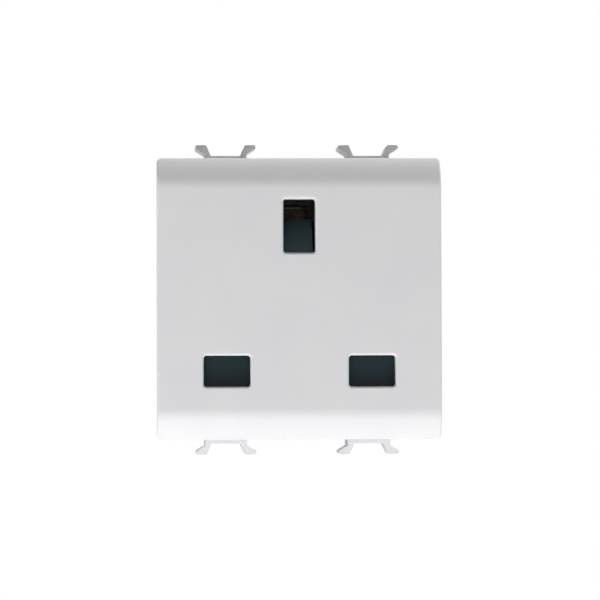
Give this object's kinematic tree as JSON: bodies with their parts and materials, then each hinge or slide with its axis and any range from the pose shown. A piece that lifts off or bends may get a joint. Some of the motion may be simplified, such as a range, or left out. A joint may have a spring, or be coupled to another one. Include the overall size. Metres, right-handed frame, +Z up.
{
  "type": "british mains socket",
  "caption": "White square British mains socket insert with rimmed pin apertures, a sprung sliding shutter, snap clips on its top and bottom edges, and screw terminals behind.",
  "frame": {"origin": "centre of the flat face that the plug rests on", "axes": "+X to the right seen from the front, +Y into the wall, +Z up with the earth aperture at the top"},
  "size_m": [0.0434, 0.0372, 0.0478],
  "materials": {
    "white_plastic": "satin moulded",
    "dark_plastic": "matt moulded",
    "brass": "pressed strip and turned bar",
    "steel": "spring steel",
    "screw_steel": "zinc plated"
  },
  "bodies": {
    "socket": {"front_cover": "white_plastic", "rear_housing": "white_plastic", "contact_retainer": "dark_plastic", "shutter_spring": "steel", "line_contact": "brass", "line_grip_spring": "steel", "line_terminal": "brass", "neutral_contact": "brass", "neutral_grip_spring": "steel", "neutral_terminal": "brass", "earth_contact": "brass", "earth_grip_spring": "steel", "earth_terminal": "brass", "contact_rivets": "brass", "terminal_screws": "screw_steel", "assembly_screws": "screw_steel"},
    "shutter": {"shutter": "dark_plastic"}
  },
  "joints": [
    {"name": "shutter_slide", "type": "slide", "parent": "socket", "child": "shutter", "axis": [0, 0, -1], "range_m": [0, 0.0054], "stiffness_N_per_m": 200, "springref_m": -0.004, "deforming": ["shutter_spring"]}
  ]
}
